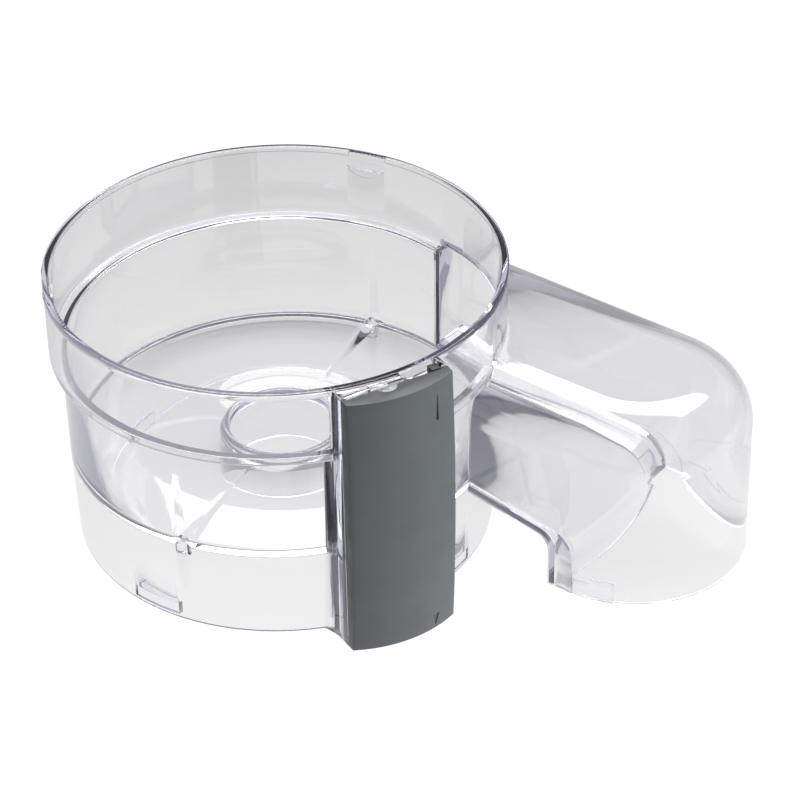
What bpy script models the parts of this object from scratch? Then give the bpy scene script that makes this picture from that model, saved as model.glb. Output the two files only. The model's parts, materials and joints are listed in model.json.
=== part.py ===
"""Clear work bowl of a food processor with a side discharge chute and a handle that holds the lid interlock.

Frame: metres, +Z up, origin on the bowl's axis in the plane that the bowl stands on, +X along the chute.
"""

import math

import bmesh
import bpy
from mathutils import Matrix, Vector

# Bowl
BOWL_HEIGHT = 0.1214
RIM_RADIUS = 0.0950
WALL = 0.0024
LIP_HEIGHT = 0.0030
LIP_STEP = 0.0006
BAND_HEIGHT = 0.0342
LEDGE_STEP = 0.0047
BODY_DRAFT = 0.0005
SKIRT_DRAFT = 0.0012
FLOOR_TOP = 0.0408
FLOOR_THICKNESS = 0.0024
EDGE_ROUND = 0.0006
TURN_STEPS = 96
PEG_STEPS = 16

BAND_RADIUS = RIM_RADIUS - LIP_STEP
BODY_RADIUS = BAND_RADIUS - LEDGE_STEP
BODY_FOOT_RADIUS = BODY_RADIUS - BODY_DRAFT
SKIRT_RADIUS = BODY_FOOT_RADIUS - SKIRT_DRAFT
LEDGE_HEIGHT = BOWL_HEIGHT - BAND_HEIGHT

# Drive neck in the middle of the floor
NECK_RADIUS = 0.0255
NECK_WALL = 0.0030
NECK_RISE = 0.0027
NECK_DROP = 0.0218

# Lugs that the lid and the motor base turn under
LID_LUG_COUNT = 3
LID_LUG_ANGLE = 105.4
LID_LUG_WIDTH = 0.0170
LID_LUG_HEIGHT = 0.0038
LID_LUG_DROP = 0.0070
LID_LUG_DEPTH = 0.0016
BASE_LUG_COUNT = 4
BASE_LUG_ANGLE = -87.5
BASE_LUG_SPAN = 15.0
BASE_LUG_DEPTH = 0.0028
BASE_LUG_FOOT = 0.0010
BASE_LUG_HEIGHT = 0.0055
STOP_ANGLES = (-77.0, 103.0)
STOP_RADIUS = 0.0032
STOP_DROP = 0.0040

# Discharge chute: sideways it is placed from the bowl's rim, lengthways from the foot of the bowl's body
CHUTE_WIDTH = 0.0930
CHUTE_OVERHANG = 0.0115
CHUTE_TUCK = 0.0762
CHUTE_REACH = 0.0493
CHUTE_RISE = 0.0068
CHUTE_ROUND = 0.0245
CHUTE_WALL = 0.0025
MOUTH_HEIGHT = 0.0100
RAMP_SLOPE_NEAR = 0.150
RAMP_SLOPE_FAR = 0.130
RAMP_THICKNESS = 0.0026
RAMP_TURN_NEAR = 0.0085
RAMP_TURN_FAR = 0.0180
RAMP_REACH_NEAR = 0.0430
RAMP_REACH_FAR = 0.0353
FLANGE_THICKNESS = 0.0012
FLANGE_RISE = 0.0018
FLANGE_LAP = 0.0088
MOUTH_BAND_REACH = 0.0195
MOUTH_BAND_STEP = 0.0105
MOUTH_BAND_LOW = 0.0080
MOUTH_BAND_HIGH = 0.0102

FAR_SIDE = RIM_RADIUS + CHUTE_OVERHANG
NEAR_SIDE = FAR_SIDE - CHUTE_WIDTH
CHUTE_MIDDLE = FAR_SIDE - CHUTE_WIDTH / 2
CHUTE_TOP = LEDGE_HEIGHT + CHUTE_RISE
CHUTE_START = BODY_FOOT_RADIUS - CHUTE_TUCK
CHUTE_END_CENTRE = BODY_FOOT_RADIUS + CHUTE_REACH
DROP_WALL_NEAR = BODY_FOOT_RADIUS + RAMP_REACH_NEAR
DROP_WALL_FAR = BODY_FOOT_RADIUS + RAMP_REACH_FAR

# Handle, in its own frame: U points out from the bowl, V is sideways
HANDLE_ANGLE = -22.4
HANDLE_WIDTH = 0.0466
HANDLE_DROP = 0.0006
BRACKET_WALL = 0.0021
BRACKET_DEPTH = 0.0092
BRACKET_FLARE = 0.0046
BRACKET_REACH = 0.0140
LEDGE_PLATE = 0.0022
MIDDLE_SLOT_WIDTH = 0.0140
LEFT_SLOT_INSET = 0.0004
SLOT_WEB = 0.0078
ROD_WEB = 0.0041
SLOT_DEPTH = 0.0015
LEFT_SLOT_SETBACK = 0.0017
MIDDLE_SLOT_SETBACK = 0.0012
COVER_WALL = 0.0022
COVER_FOOT = 0.0004
COVER_DEPTH_TOP = 0.0099
COVER_DEPTH_MIDDLE = 0.0115
COVER_DEPTH_FOOT = 0.0090
COVER_CROWN = 0.0054
COVER_LIP_SETBACK = 0.0011
COVER_NOTCH_SIDE = -0.0035
COVER_NOTCH_RADIUS = 0.0045
MARK_DEPTH = 0.0005
LINE_INSET = 0.0093
LINE_WIDTH = 0.0011
LINE_HEIGHT = 0.0114
LINE_DROP = 0.0058
ARROW_INSET = 0.0106
ARROW_WIDTH = 0.0034
ARROW_LOW = 0.0020
ARROW_HEIGHT = 0.0058

HANDLE_TOP = BOWL_HEIGHT - HANDLE_DROP
COVER_BACK = BODY_RADIUS + BRACKET_DEPTH
COVER_LIP_BACK = COVER_BACK + COVER_LIP_SETBACK
BRACKET_INSIDE = HANDLE_WIDTH / 2 - BRACKET_WALL

# Interlock rod and its spring
ROD_WIDTH = 0.0040
ROD_SETBACK = 0.0015
ROD_STAND = 0.0002
ROD_FOOT = 0.0030
ROD_CLEARANCE = 0.0003
TAIL_RADIUS = 0.0015
COLLAR_HEIGHT = 0.0025
COLLAR_WIDTH = 0.0068
COLLAR_SIDE = 0.0050
SPRING_SEAT = 0.0620
SPRING_ROOM = 0.0185
SPRING_RADIUS = 0.0024
SPRING_WIRE = 0.0003
SPRING_GAP = 0.0001
SPRING_TURNS = 6
SPRING_STEPS = 12
SHELF_THICKNESS = 0.0024
SHELF_WIDTH = 0.0120
FOOT_SHELF = 0.0080

GAP = 0.0003
OFFSET = 0.0001
DEEP = 0.0300

ROD_OUT = COVER_BACK - ROD_SETBACK
ROD_SIDE = BRACKET_INSIDE - COLLAR_SIDE / 2 - ROD_CLEARANCE
ROD_TOP = HANDLE_TOP + ROD_STAND
COLLAR_TOP = SPRING_SEAT + SPRING_ROOM + COLLAR_HEIGHT


# ---------------------------------------------------------------- scene and modelling helpers


def clear_scene():
    for obj in list(bpy.data.objects):
        bpy.data.objects.remove(obj, do_unlink=True)


def new_collection(name):
    collection = bpy.data.collections.new(name)
    bpy.context.scene.collection.children.link(collection)
    return collection


def add_object(name, data, collection, parent=None):
    obj = bpy.data.objects.new(name, data)
    collection.objects.link(obj)
    obj.parent = parent
    return obj


def mesh_object(name, bm, collection, parent=None):
    bmesh.ops.recalc_face_normals(bm, faces=bm.faces)
    mesh = bpy.data.meshes.new(name)
    bm.to_mesh(mesh)
    bm.free()
    return add_object(name, mesh, collection, parent)


def helper(obj):
    """Marks a cutter or a joined piece: it shapes another object and isn't a part."""
    obj.hide_render = True
    obj.display_type = "WIRE"
    return obj


def combine(obj, tool, operation):
    modifier = obj.modifiers.new(tool.name, "BOOLEAN")
    modifier.operation = operation
    modifier.solver = "EXACT"
    modifier.object = helper(tool)


def cut(obj, tool):
    combine(obj, tool, "DIFFERENCE")


def join(obj, tool):
    combine(obj, tool, "UNION")


def smooth(obj, degrees=35):
    obj.data.shade_smooth()
    obj.data.set_sharp_from_angle(angle=math.radians(degrees))


def plastic(name, colour, roughness, transmission=0.0, metallic=0.0):
    material = bpy.data.materials.new(name)
    material.use_nodes = True
    shader = material.node_tree.nodes["Principled BSDF"]
    shader.inputs["Base Color"].default_value = (*colour, 1)
    shader.inputs["Roughness"].default_value = roughness
    shader.inputs["Transmission Weight"].default_value = transmission
    shader.inputs["Metallic"].default_value = metallic
    material.diffuse_color = (*colour, 1)
    return material


def turned(name, profile, collection, closed):
    """A profile of (radius, height) points turned round Z; an open profile starts and ends on the axis."""
    bm = bmesh.new()
    verts = [bm.verts.new((radius, 0, height)) for radius, height in profile]
    for first, second in zip(verts, verts[1:] + verts[:1] if closed else verts[1:]):
        bm.edges.new((first, second))
    mesh = bpy.data.meshes.new(name)
    bm.to_mesh(mesh)
    bm.free()
    obj = add_object(name, mesh, collection)
    screw = obj.modifiers.new("turn", "SCREW")
    screw.axis = "Z"
    screw.steps = TURN_STEPS
    screw.render_steps = TURN_STEPS
    screw.use_merge_vertices = True
    screw.merge_threshold = 0.00001
    screw.use_smooth_shade = False
    return obj


def prism(name, outline, low, high, collection, parent=None):
    """A flat outline of (x, y) points raised from z = low to z = high."""
    bm = bmesh.new()
    face = bm.faces.new([bm.verts.new((x, y, low)) for x, y in outline])
    raised = bmesh.ops.extrude_face_region(bm, geom=[face])
    top = [v for v in raised["geom"] if isinstance(v, bmesh.types.BMVert)]
    bmesh.ops.translate(bm, verts=top, vec=(0, 0, high - low))
    return mesh_object(name, bm, collection, parent)


def box(name, low, high, collection, parent=None):
    """A block from its low corner to its high corner, with its origin in its middle."""
    bm = bmesh.new()
    bmesh.ops.create_cube(bm, size=1)
    bmesh.ops.scale(bm, vec=Vector(high) - Vector(low), verts=bm.verts)
    block = mesh_object(name, bm, collection, parent)
    block.location = (Vector(high) + Vector(low)) / 2
    return block


def peg(name, radius, height, collection, parent=None):
    """An upright round peg with its origin in its middle."""
    bm = bmesh.new()
    sizes = {"segments": PEG_STEPS, "radius1": radius, "radius2": radius, "depth": height}
    bmesh.ops.create_cone(bm, cap_ends=True, **sizes)
    return mesh_object(name, bm, collection, parent)


def loft(name, rings, collection, parent=None):
    """Joins closed rings of equal point counts into a solid with flat ends."""
    bm = bmesh.new()
    loops = [[bm.verts.new(point) for point in ring] for ring in rings]
    count = len(loops[0])
    for lower, upper in zip(loops, loops[1:]):
        for index in range(count):
            after = (index + 1) % count
            bm.faces.new((lower[index], lower[after], upper[after], upper[index]))
    bm.faces.new(loops[0])
    bm.faces.new(loops[-1])
    return mesh_object(name, bm, collection, parent)


def arc(centre, radius, start, end, steps):
    """Points (x, y) on an arc, angles in degrees, both ends included."""
    points = []
    for step in range(steps + 1):
        angle = math.radians(start + (end - start) * step / steps)
        points.append((centre[0] + radius * math.cos(angle), centre[1] + radius * math.sin(angle)))
    return points


def sector(inner, outer, middle, span, steps):
    """The plan outline of a piece of ring, angles in degrees."""
    first, last = middle - span / 2, middle + span / 2
    return arc((0, 0), outer, first, last, steps) + arc((0, 0), inner, last, first, steps)


# ---------------------------------------------------------------- bowl


def wall_profile(offset):
    """The outside of the bowl from rim to foot, moved out by offset."""
    return [
        (RIM_RADIUS - EDGE_ROUND + offset, BOWL_HEIGHT),
        (RIM_RADIUS + offset, BOWL_HEIGHT - EDGE_ROUND),
        (RIM_RADIUS + offset, BOWL_HEIGHT - LIP_HEIGHT),
        (BAND_RADIUS + offset, BOWL_HEIGHT - LIP_HEIGHT - EDGE_ROUND),
        (BAND_RADIUS + offset, LEDGE_HEIGHT + 2 * EDGE_ROUND - offset),
        (BAND_RADIUS - EDGE_ROUND + offset, LEDGE_HEIGHT + EDGE_ROUND / 2 - offset),
        (BODY_RADIUS + EDGE_ROUND + offset, LEDGE_HEIGHT - offset),
        (BODY_RADIUS + offset, LEDGE_HEIGHT - EDGE_ROUND - offset),
        (BODY_FOOT_RADIUS + offset, FLOOR_TOP - FLOOR_THICKNESS),
        (SKIRT_RADIUS + offset, EDGE_ROUND),
        (SKIRT_RADIUS - EDGE_ROUND + offset, 0),
    ]


def bowl_profile():
    floor_foot = FLOOR_TOP - FLOOR_THICKNESS
    neck_top = FLOOR_TOP + NECK_RISE
    neck_inside = NECK_RADIUS - NECK_WALL
    return wall_profile(0) + [
        (SKIRT_RADIUS - WALL, 0),
        (BODY_FOOT_RADIUS - WALL, floor_foot),
        (NECK_RADIUS, floor_foot),
        (NECK_RADIUS, FLOOR_TOP - NECK_DROP),
        (neck_inside, FLOOR_TOP - NECK_DROP),
        (neck_inside, neck_top - EDGE_ROUND),
        (neck_inside + EDGE_ROUND, neck_top),
        (NECK_RADIUS - 2 * EDGE_ROUND, neck_top),
        (NECK_RADIUS, neck_top - 2 * EDGE_ROUND),
        (NECK_RADIUS + EDGE_ROUND, FLOOR_TOP),
        (BODY_FOOT_RADIUS - WALL - 2 * EDGE_ROUND, FLOOR_TOP),
        (BODY_FOOT_RADIUS - WALL, FLOOR_TOP + 2 * EDGE_ROUND),
        (BODY_RADIUS - WALL, LEDGE_HEIGHT + WALL - EDGE_ROUND),
        (BODY_RADIUS - WALL + EDGE_ROUND, LEDGE_HEIGHT + WALL),
        (BAND_RADIUS - WALL, LEDGE_HEIGHT + WALL),
        (BAND_RADIUS - WALL, BOWL_HEIGHT),
    ]


def bowl_plug(name, offset, tools):
    """A solid that fills the bowl's outside, moved out by offset."""
    profile = wall_profile(offset)
    top = [(0, BOWL_HEIGHT + DEEP), (profile[0][0], BOWL_HEIGHT + DEEP)]
    foot = [(profile[-1][0], -DEEP), (0, -DEEP)]
    return turned(name, top + profile + foot, tools, closed=False)


def lid_lug(number, tools):
    """A half-moon boss on the inside of the band, flat side up, that the lid turns under."""
    angle = LID_LUG_ANGLE + 360 * number / LID_LUG_COUNT
    half = LID_LUG_WIDTH / 2
    radius = (half**2 + LID_LUG_HEIGHT**2) / (2 * LID_LUG_HEIGHT)
    reach = math.degrees(math.asin(half / radius))
    outline = arc((0, radius - LID_LUG_HEIGHT), radius, -90 - reach, -90 + reach, 8)
    lug = prism(f"lid_lug_{number + 1}", outline, 0, LID_LUG_DEPTH + WALL / 2, tools)
    place = Matrix.Translation((0, BAND_RADIUS - WALL - LID_LUG_DEPTH, BOWL_HEIGHT - LID_LUG_DROP))
    stand = Matrix.Rotation(math.radians(180), 4, "Z") @ Matrix.Rotation(math.radians(90), 4, "X")
    lug.matrix_world = Matrix.Rotation(math.radians(angle - 90), 4, "Z") @ place @ stand
    return lug


def lip_gap(number, tools):
    """The break in the outer lip above a lid lug."""
    angle = LID_LUG_ANGLE + 360 * number / LID_LUG_COUNT
    span = math.degrees(LID_LUG_WIDTH / BAND_RADIUS)
    outline = sector(BAND_RADIUS + EDGE_ROUND / 4, RIM_RADIUS + DEEP, angle, span, 6)
    low = BOWL_HEIGHT - LIP_HEIGHT - 2 * EDGE_ROUND
    return prism(f"lip_gap_{number + 1}", outline, low, BOWL_HEIGHT + DEEP, tools)


def base_lug(number, tools):
    """A step inside the skirt that turns under a lug of the motor base."""
    angle = BASE_LUG_ANGLE + 360 * number / BASE_LUG_COUNT
    outer = SKIRT_RADIUS - WALL / 2
    outline = sector(SKIRT_RADIUS - WALL - BASE_LUG_DEPTH, outer, angle, BASE_LUG_SPAN, 6)
    return prism(f"base_lug_{number + 1}", outline, BASE_LUG_FOOT, BASE_LUG_FOOT + BASE_LUG_HEIGHT, tools)


def turn_stop(number, tools):
    """A half-round stop under the floor that ends the bowl's turn on the motor base."""
    angle = math.radians(STOP_ANGLES[number])
    centre = BODY_FOOT_RADIUS - WALL
    high = FLOOR_TOP - FLOOR_THICKNESS / 2
    low = FLOOR_TOP - FLOOR_THICKNESS - STOP_DROP
    stop = peg(f"turn_stop_{number + 1}", STOP_RADIUS, high - low, tools)
    stop.location = (centre * math.cos(angle), centre * math.sin(angle), (high + low) / 2)
    return stop


def bracket_block(tools, frame):
    """The handle bracket before it is hollowed, flared where it grows out of the bowl."""
    half = HANDLE_WIDTH / 2
    front = COVER_BACK - GAP
    root = BODY_RADIUS - 2 * BRACKET_FLARE
    steps = 4
    side = []
    for step in range(steps + 1):
        share = step / steps
        side.append((root + BRACKET_REACH * share, half + BRACKET_FLARE * (1 - share) ** 2))
    outline = [(u, -v) for u, v in side] + [(front, -half), (front, half)]
    outline += [(u, v) for u, v in reversed(side)]
    return prism("bracket_block", outline, 0, HANDLE_TOP, tools, frame)


def ledge_slots():
    """The slots in the bracket's top plate as (name, low side, high side, back, front)."""
    middle_high = ROD_SIDE - ROD_WIDTH / 2 - ROD_CLEARANCE - ROD_WEB
    middle_low = middle_high - MIDDLE_SLOT_WIDTH
    left_low = LEFT_SLOT_INSET - BRACKET_INSIDE
    left_front = COVER_BACK - LEFT_SLOT_SETBACK
    middle_front = COVER_BACK - MIDDLE_SLOT_SETBACK
    return [
        ("left_slot", left_low, middle_low - SLOT_WEB, left_front - SLOT_DEPTH, left_front),
        ("middle_slot", middle_low, middle_high, middle_front - SLOT_DEPTH, middle_front),
    ]


def shelf(name, top, tools, frame):
    """A short shelf that grows out of the bowl's wall and the bracket's right wall, round the rod."""
    low = (BODY_RADIUS - WALL, BRACKET_INSIDE - SHELF_WIDTH, top - SHELF_THICKNESS)
    high = (COVER_BACK - GAP - OFFSET, BRACKET_INSIDE + BRACKET_WALL / 2, top)
    return box(name, low, high, tools, frame)


def rod_path(name, half, low, high, tools, frame):
    """The notch that the rod slides in, open towards the cover."""
    notch = half + ROD_CLEARANCE
    corners = (ROD_OUT - notch, ROD_SIDE - notch, low), (ROD_OUT + DEEP, ROD_SIDE + notch, high)
    return box(name, *corners, tools, frame)


def build_bracket(tools, frame):
    """Two side walls, the plate that closes their top and three shelves with notches for the rod."""
    bracket = bracket_block(tools, frame)
    low = (BODY_RADIUS - DEEP, -BRACKET_INSIDE, -DEEP)
    high = (BODY_RADIUS + DEEP, BRACKET_INSIDE, HANDLE_TOP - LEDGE_PLATE)
    cut(bracket, box("bracket_hollow", low, high, tools, frame))
    for number, top in enumerate((FOOT_SHELF, SPRING_SEAT, COLLAR_TOP + GAP + SHELF_THICKNESS)):
        join(bracket, shelf(f"shelf_{number + 1}", top, tools, frame))
    middle = (SPRING_SEAT + COLLAR_TOP) / 2
    cut(bracket, rod_path("tail_path", TAIL_RADIUS, -DEEP, middle, tools, frame))
    cut(bracket, rod_path("rod_path", ROD_WIDTH / 2, middle, HANDLE_TOP + DEEP, tools, frame))
    for name, left, right, back, front in ledge_slots():
        corners = (back, left, HANDLE_TOP - 2 * LEDGE_PLATE), (front, right, HANDLE_TOP + DEEP)
        cut(bracket, box(name, *corners, tools, frame))
    cut(bracket, bowl_plug("bracket_trim", -WALL / 2, tools))
    return bracket


def chute_solid(name, inset, start, foot, collection):
    """The chute's outside, moved in by inset: a long arch with one round end."""
    half = CHUTE_WIDTH / 2 - inset
    top = CHUTE_TOP - inset
    outline = [(start, CHUTE_MIDDLE - half)]
    outline += arc((CHUTE_END_CENTRE, CHUTE_MIDDLE), half, -90, 90, 24)
    outline += [(start, CHUTE_MIDDLE + half)]
    bm = bmesh.new()
    face = bm.faces.new([bm.verts.new((x, y, foot)) for x, y in outline])
    raised = bmesh.ops.extrude_face_region(bm, geom=[face])
    verts = [v for v in raised["geom"] if isinstance(v, bmesh.types.BMVert)]
    bmesh.ops.translate(bm, verts=verts, vec=(0, 0, top - foot))
    bmesh.ops.recalc_face_normals(bm, faces=bm.faces)
    top_edges = [
        edge
        for edge in bm.edges
        if all(abs(v.co.z - top) < 1e-6 for v in edge.verts)
        and not all(abs(v.co.x - start) < 1e-6 for v in edge.verts)
    ]
    round_ = CHUTE_ROUND - inset
    bmesh.ops.bevel(
        bm, geom=top_edges, offset=round_, offset_type="OFFSET", segments=8, profile=0.5, affect="EDGES"
    )
    return mesh_object(name, bm, collection)


def build_bowl(parts, tools, frame, material):
    bowl = turned("bowl", bowl_profile(), parts, closed=True)
    join(bowl, build_bracket(tools, frame))
    for number in range(LID_LUG_COUNT):
        join(bowl, lid_lug(number, tools))
        cut(bowl, lip_gap(number, tools))
    for number in range(BASE_LUG_COUNT):
        join(bowl, base_lug(number, tools))
    for number in range(len(STOP_ANGLES)):
        join(bowl, turn_stop(number, tools))
    window = chute_solid("window", CHUTE_WALL, CHUTE_START + CHUTE_WALL, FLOOR_TOP + GAP / 2, tools)
    cut(bowl, window)
    bowl.data.materials.append(material)
    return bowl


# ---------------------------------------------------------------- chute


def across(near, far, y):
    """A value that changes evenly from the chute's near side to its far side."""
    return near + (far - near) * (y - NEAR_SIDE) / CHUTE_WIDTH


def ramp_start(y):
    """Where the ramp meets the bowl at this distance from the bowl's middle plane."""
    reach = (BODY_FOOT_RADIUS + GAP) ** 2 - y**2
    return max(math.sqrt(reach), CHUTE_START) if reach > 0 else CHUTE_START


def ramp_line(y, lift, lap=None, shift=0):
    """The ramp's top line at y as (x, z): down the slope, round the turn and down past the mouth.

    lift moves it up and out square to itself, lap is the lift at its lower end and shift moves its start.
    """
    lap = lift if lap is None else lap
    fall = across(RAMP_SLOPE_NEAR, RAMP_SLOPE_FAR, y)
    slope = math.atan(fall)
    radius = across(RAMP_TURN_NEAR, RAMP_TURN_FAR, y)
    wall = across(DROP_WALL_NEAR, DROP_WALL_FAR, y)
    centre_x = wall - radius
    turn_x = centre_x + radius * math.sin(slope)
    turn_z = FLOOR_TOP - fall * (turn_x - ramp_start(y))
    centre_z = turn_z - radius * math.cos(slope)
    points = [(ramp_start(y) + shift, FLOOR_TOP - fall * shift + lift / math.cos(slope))]
    steps = 6
    for step in range(steps + 1):
        share = step / steps
        angle = (math.pi / 2 - slope) * (1 - share)
        reach = radius + lift + (lap - lift) * share
        points.append((centre_x + reach * math.cos(angle), centre_z + reach * math.sin(angle)))
    points.append((wall + lap, MOUTH_HEIGHT - DEEP))
    return points


def ramp_stations():
    """Distances across the chute at which the ramp is drawn, close together where the bowl curves away."""
    edge = GAP + FLANGE_THICKNESS / 2
    near = math.degrees(math.asin((NEAR_SIDE - edge) / (BODY_FOOT_RADIUS + GAP)))
    far = math.degrees(math.acos(max(CHUTE_START, 0) / (BODY_FOOT_RADIUS + GAP)))
    curve = [point[1] for point in arc((0, 0), BODY_FOOT_RADIUS + GAP, near, far, 14)]
    return curve + [FAR_SIDE + edge]


def ring_at(y, over, under):
    return [(x, y, z) for x, z in over] + [(x, y, z) for x, z in reversed(under)]


def end_at(piece, height, tools):
    """Cuts off all of a chute piece that hangs below this height."""
    low = (CHUTE_START - DEEP, NEAR_SIDE - DEEP, height - 2 * DEEP)
    high = (CHUTE_END_CENTRE + CHUTE_WIDTH, FAR_SIDE + DEEP, height)
    cut(piece, box(f"{piece.name}_end", low, high, tools))


def flange(name, side, out, tools):
    """The upright edge of the ramp that laps outside the hood's wall."""
    rings = []
    for y in (side + out * GAP, side + out * (GAP + FLANGE_THICKNESS)):
        over = ramp_line(side, FLANGE_RISE, FLANGE_LAP, shift=GAP)
        under = ramp_line(side, -RAMP_THICKNESS - GAP, shift=GAP)
        rings.append(ring_at(y, over, under))
    edge = loft(name, rings, tools)
    end_at(edge, MOUTH_HEIGHT, tools)
    return edge


def mouth_band(name, out, tools):
    """The stepped band of the tray that laps round the foot of the hood's outlet."""
    inset = FLANGE_THICKNESS / 8
    half = CHUTE_WIDTH / 2 + GAP
    inner, outer = half + inset, half + FLANGE_THICKNESS - inset
    begin = DROP_WALL_NEAR if out < 0 else DROP_WALL_FAR
    centre = Vector((CHUTE_END_CENTRE, CHUTE_MIDDLE))
    rings = [band_ring(Vector((begin, CHUTE_MIDDLE)), Vector((0, out)), inner, outer, MOUTH_BAND_LOW)]
    step = math.asin(MOUTH_BAND_STEP / half)
    last = math.asin(MOUTH_BAND_REACH / half)
    angles = [(step * k / 3, MOUTH_BAND_LOW) for k in range(4)]
    angles += [(step + 0.001 + (last - step) * k / 3, MOUTH_BAND_HIGH) for k in range(4)]
    for angle, height in angles:
        way = Vector((math.sin(angle), out * math.cos(angle)))
        rings.append(band_ring(centre, way, inner, outer, height))
    return loft(name, rings, tools)


def band_ring(centre, way, inner, outer, height):
    near, far = centre + way * inner, centre + way * outer
    low, high = MOUTH_HEIGHT + FLANGE_THICKNESS / 8, MOUTH_HEIGHT + height
    return [(*near, low), (*far, low), (*far, high), (*near, high)]


def build_tray(parts, tools, material):
    rings = [ring_at(y, ramp_line(y, 0), ramp_line(y, -RAMP_THICKNESS)) for y in ramp_stations()]
    tray = loft("chute_tray", rings, parts)
    end_at(tray, MOUTH_HEIGHT + GAP, tools)
    for name, side, out in (("near", NEAR_SIDE, -1), ("far", FAR_SIDE, 1)):
        join(tray, flange(f"flange_{name}", side, out, tools))
        join(tray, mouth_band(f"mouth_band_{name}", out, tools))
    tray.data.materials.append(material)
    return tray


def build_hood(parts, tools, material):
    hood = chute_solid("chute_hood", 0, CHUTE_START, MOUTH_HEIGHT, parts)
    hollow = chute_solid("hood_hollow", CHUTE_WALL, CHUTE_START + CHUTE_WALL, MOUTH_HEIGHT - DEEP, tools)
    cut(hood, hollow)
    cut(hood, bowl_plug("bowl_clearance", GAP, tools))
    rings = []
    for y in [NEAR_SIDE - DEEP / 3] + ramp_stations() + [FAR_SIDE + DEEP / 3]:
        over = ramp_line(y, GAP, shift=-DEEP)
        under = [(x, MOUTH_HEIGHT - 2 * DEEP) for x, _ in over]
        rings.append(ring_at(y, over, under))
    cut(hood, loft("ramp_clearance", rings, tools))
    hood.data.materials.append(material)
    return hood


# ---------------------------------------------------------------- handle cover and interlock


def cover_front(height):
    """How far out the cover's middle stands at this height: a shallow barrel through three values."""
    share = height / HANDLE_TOP
    foot = COVER_DEPTH_FOOT * (1 - share) * (1 - 2 * share)
    middle = COVER_DEPTH_MIDDLE * 4 * share * (1 - share)
    top = COVER_DEPTH_TOP * share * (2 * share - 1)
    return COVER_BACK + foot + middle + top


def cover_ring(height, inset, back):
    """The cover's plan outline at one height, moved in by inset: a shallow front arc with straight sides."""
    half = HANDLE_WIDTH / 2
    radius = (half**2 + COVER_CROWN**2) / (2 * COVER_CROWN)
    reach = math.degrees(math.asin((half - inset) / (radius - inset)))
    centre = (cover_front(height) - radius, 0)
    points = [(back, inset - half)] + arc(centre, radius - inset, -reach, reach, 12) + [(back, half - inset)]
    return [(u, v, height) for u, v in points]


def mark_start(side, height):
    """How far out a mark's floor is, on the cover's face at this side and height."""
    half = HANDLE_WIDTH / 2
    return cover_front(height) - COVER_CROWN * (side / half) ** 2 - MARK_DEPTH


def line_mark(tools, frame):
    """A shallow upright line that shows where the lid locks."""
    high = HANDLE_TOP - LINE_DROP
    low = high - LINE_HEIGHT
    side = HANDLE_WIDTH / 2 - LINE_INSET
    half = LINE_WIDTH / 2
    out = mark_start(side, (low + high) / 2)
    return box("line_mark", (out, side - half, low), (out + DEEP, side + half, high), tools, frame)


def arrow_mark(tools, frame):
    """A shallow triangle, point down, that shows where the bowl locks on the motor base."""
    middle = HANDLE_WIDTH / 2 - ARROW_INSET
    half = ARROW_WIDTH / 2
    high = ARROW_LOW + ARROW_HEIGHT
    out = mark_start(middle, (ARROW_LOW + high) / 2)
    corners = [(middle - half, high), (middle + half, high), (middle, ARROW_LOW)]
    rings = [[(x, side, height) for side, height in corners] for x in (out, out + DEEP)]
    return loft("arrow_mark", rings, tools, frame)


def build_cover(parts, tools, frame, material):
    heights = [COVER_FOOT + (HANDLE_TOP - COVER_FOOT) * k / 8 for k in range(9)]
    cover = loft("handle_cover", [cover_ring(z, 0, COVER_BACK) for z in heights], parts, frame)
    low, high = COVER_FOOT + COVER_WALL, HANDLE_TOP - COVER_WALL
    inner = [low + (high - low) * k / 8 for k in range(9)]
    rings = [cover_ring(z, COVER_WALL, COVER_BACK - DEEP) for z in inner]
    cut(cover, loft("cover_hollow", rings, tools, frame))
    cut(cover, line_mark(tools, frame))
    cut(cover, arrow_mark(tools, frame))
    above, below = HANDLE_TOP + DEEP, HANDLE_TOP - 2 * COVER_WALL
    inner = HANDLE_WIDTH / 2 - COVER_WALL
    lip = (COVER_BACK - DEEP, -inner, below), (COVER_LIP_BACK, inner, above)
    cut(cover, box("cover_lip", *lip, tools, frame))
    notch = arc((COVER_LIP_BACK - COVER_NOTCH_RADIUS / 4, COVER_NOTCH_SIDE), COVER_NOTCH_RADIUS, 90, -90, 10)
    cut(cover, prism("cover_notch", notch, below, above, tools, frame))
    cover.data.materials.append(material)
    return cover


def build_rod(parts, tools, frame, material):
    """A square rod with a collar that the spring lifts and a round tail that reaches the motor base."""
    half = ROD_WIDTH / 2
    low = (ROD_OUT - half, ROD_SIDE - half, COLLAR_TOP - COLLAR_HEIGHT / 2)
    high = (ROD_OUT + half, ROD_SIDE + half, ROD_TOP)
    rod = box("interlock_rod", low, high, parts, frame)
    wide, deep = COLLAR_WIDTH / 2, COLLAR_SIDE / 2
    low = (ROD_OUT - wide, ROD_SIDE - deep, COLLAR_TOP - COLLAR_HEIGHT)
    high = (ROD_OUT + wide, ROD_SIDE + deep, COLLAR_TOP)
    join(rod, box("rod_collar", low, high, tools, frame))
    tail_height = COLLAR_TOP - COLLAR_HEIGHT / 2 - ROD_FOOT
    tail = peg("rod_tail", TAIL_RADIUS, tail_height, tools, frame)
    tail.location = (ROD_OUT, ROD_SIDE, ROD_FOOT + tail_height / 2)
    join(rod, tail)
    rod.data.materials.append(material)
    return rod


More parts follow.
